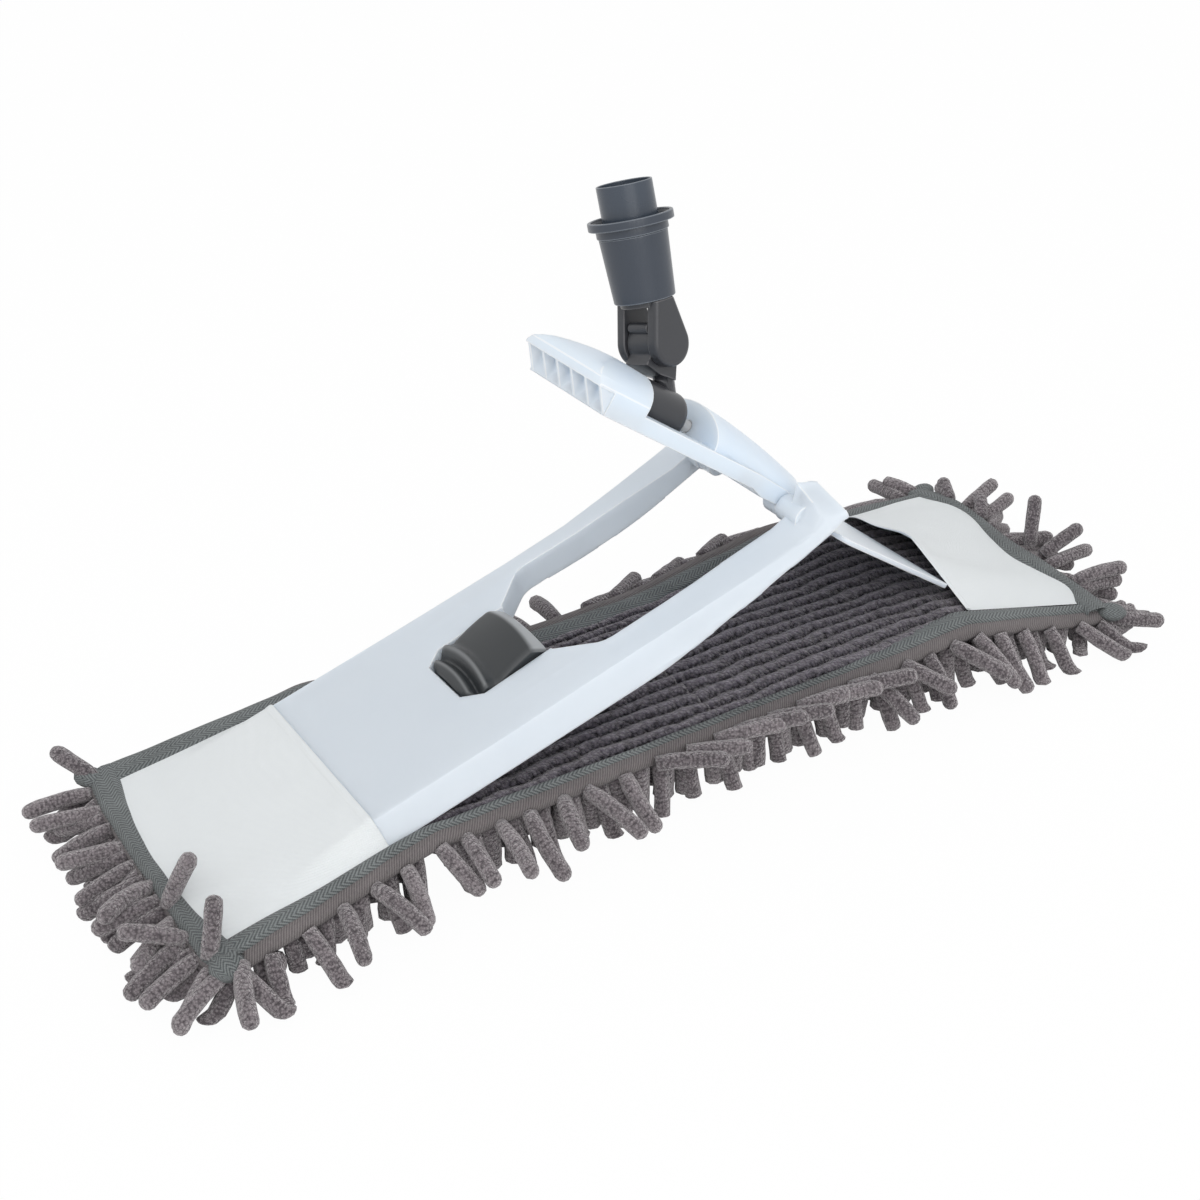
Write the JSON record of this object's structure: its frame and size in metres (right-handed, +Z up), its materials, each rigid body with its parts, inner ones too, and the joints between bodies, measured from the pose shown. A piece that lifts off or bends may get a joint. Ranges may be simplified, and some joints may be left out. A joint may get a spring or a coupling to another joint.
{
  "type": "chenille mop head",
  "caption": "Flat mop head with a chenille pocket pad on a folding two-wing frame, foot release pedal and a universal joint that carries the handle tube.",
  "frame": {"origin": "centre of the overall box in plan, on the floor that the pile stands on", "axes": "+X along the pad from the left wing to the right wing, +Y to the far side that the handle leans to, +Z up"},
  "size_m": [0.4814, 0.1974, 0.2315],
  "materials": {
    "white_plastic": "white injection-moulded plastic, satin",
    "pedal_plastic": "dark grey moulded plastic, fine matt",
    "joint_plastic": "dark warm grey moulded plastic, satin",
    "socket_plastic": "blue-grey moulded plastic, satin",
    "tube_paint": "blue-grey powder coat on thin steel tube",
    "pin_steel": "plain steel",
    "pocket_cloth": "white coated pocket cloth",
    "tape_cloth": "grey herringbone binding tape",
    "chenille": "grey-brown chenille pile"
  },
  "bodies": {
    "pad_middle": {"pad_base_mid": "chenille", "tape_near": "tape_cloth", "tape_far": "tape_cloth", "fringe_near": "chenille", "fringe_far": "chenille", "pile_mid": "chenille"},
    "left_wing_body": {"left_wing": "white_plastic", "hinge_pin_near": "pin_steel", "hinge_pin_far": "pin_steel", "pedal_pin": "pin_steel", "pedal_spring": "pin_steel", "pad_base_left": "chenille", "tape_left": "tape_cloth", "left_pocket": "pocket_cloth", "fringe_left": "chenille", "pile_left": "chenille"},
    "right_wing_body": {"right_wing": "white_plastic", "swivel_pin": "pin_steel"},
    "pedal_body": {"foot_pedal": "pedal_plastic"},
    "link_body": {"yoke": "joint_plastic"},
    "handle_body": {"socket_fork": "joint_plastic", "fork_pin": "pin_steel", "handle_socket": "socket_plastic", "step_ring": "socket_plastic", "collar_ring": "socket_plastic", "handle_tube": "tube_paint"},
    "pad_right_body": {"pad_base_right": "chenille", "tape_right": "tape_cloth", "right_pocket": "pocket_cloth", "fringe_right": "chenille", "pile_right": "chenille"}
  },
  "joints": [
    {"name": "left_bend", "type": "hinge", "parent": "pad_middle", "child": "left_wing_body", "pos_m": [-0.12403, 0, 0.03], "axis": [0, -1, 0], "range_deg": [-15.1, 4]},
    {"name": "frame_fold", "type": "hinge", "parent": "left_wing_body", "child": "right_wing_body", "pos_m": [0.05632, 0, 0.09909], "axis": [0, 1, 0], "range_deg": [-51.39, 12], "deforming": ["right_pocket"]},
    {"name": "right_bend", "type": "hinge", "parent": "pad_middle", "child": "pad_right_body", "pos_m": [0.13277, 0, 0.03], "axis": [0, 1, 0], "range_deg": [-16, 4]},
    {"name": "foot_press", "type": "hinge", "parent": "left_wing_body", "child": "pedal_body", "pos_m": [-0.0693, 0, 0.05404], "axis": [0, -1, 0], "range_deg": [0, 10], "stiffness_Nm_per_rad": 0.8, "springref_deg": -5.73, "deforming": ["pedal_spring"]},
    {"name": "joint_swivel", "type": "hinge", "parent": "right_wing_body", "child": "link_body", "pos_m": [0.00383, 0, 0.14957], "axis": [0.805, 0, -0.5932], "range_deg": [-31, 69]},
    {"name": "handle_tilt", "type": "hinge", "parent": "link_body", "child": "handle_body", "pos_m": [0.01729, 0.00781, 0.16784], "axis": [-0.1931, 0.9455, -0.2621], "range_deg": [-19.2, 95.8]}
  ],
  "couplings": [
    {"joint": "left_bend", "follows": "frame_fold", "ratio": 0.29189},
    {"joint": "right_bend", "follows": "frame_fold", "ratio": 0.30745}
  ]
}
